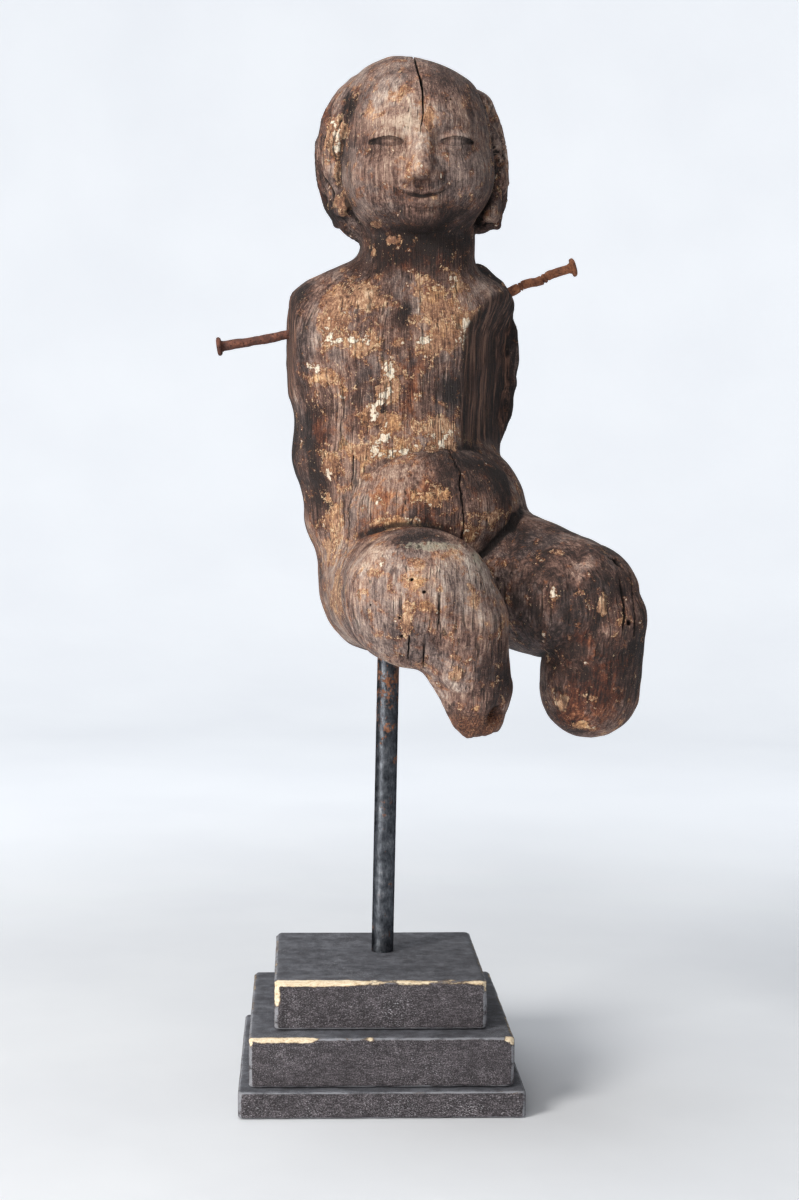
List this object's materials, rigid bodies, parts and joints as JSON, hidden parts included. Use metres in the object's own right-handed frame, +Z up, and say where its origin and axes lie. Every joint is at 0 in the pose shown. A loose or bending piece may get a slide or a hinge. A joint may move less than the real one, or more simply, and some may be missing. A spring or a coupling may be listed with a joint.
{
  "type": "carved child figure on a stand",
  "caption": "Weathered carved-wood figure of a seated child without arms, with forged nails in the shoulders, held by an iron rod on a stepped black wooden stand.",
  "frame": {"origin": "middle of the stand's underside", "axes": "+Z up, the figure faces -Y, +X is the viewer's right"},
  "size_m": [0.1859, 0.1585, 0.4582],
  "materials": {
    "carved_wood": "old carved wood, grey-brown and cracked, with remains of cream ground and ochre paint",
    "rusted_iron": "red-brown rust",
    "rod_steel": "dark blue-black with spots of rust",
    "black_paint": "black painted wood, worn to bare cream wood at the edges"
  },
  "bodies": {
    "root": {"carved_figure": "carved_wood", "nail_left": "rusted_iron", "nail_right": "rusted_iron", "rod": "rod_steel", "base_top_block": "black_paint", "base_middle_block": "black_paint", "base_bottom_board": "black_paint"}
  },
  "joints": []
}
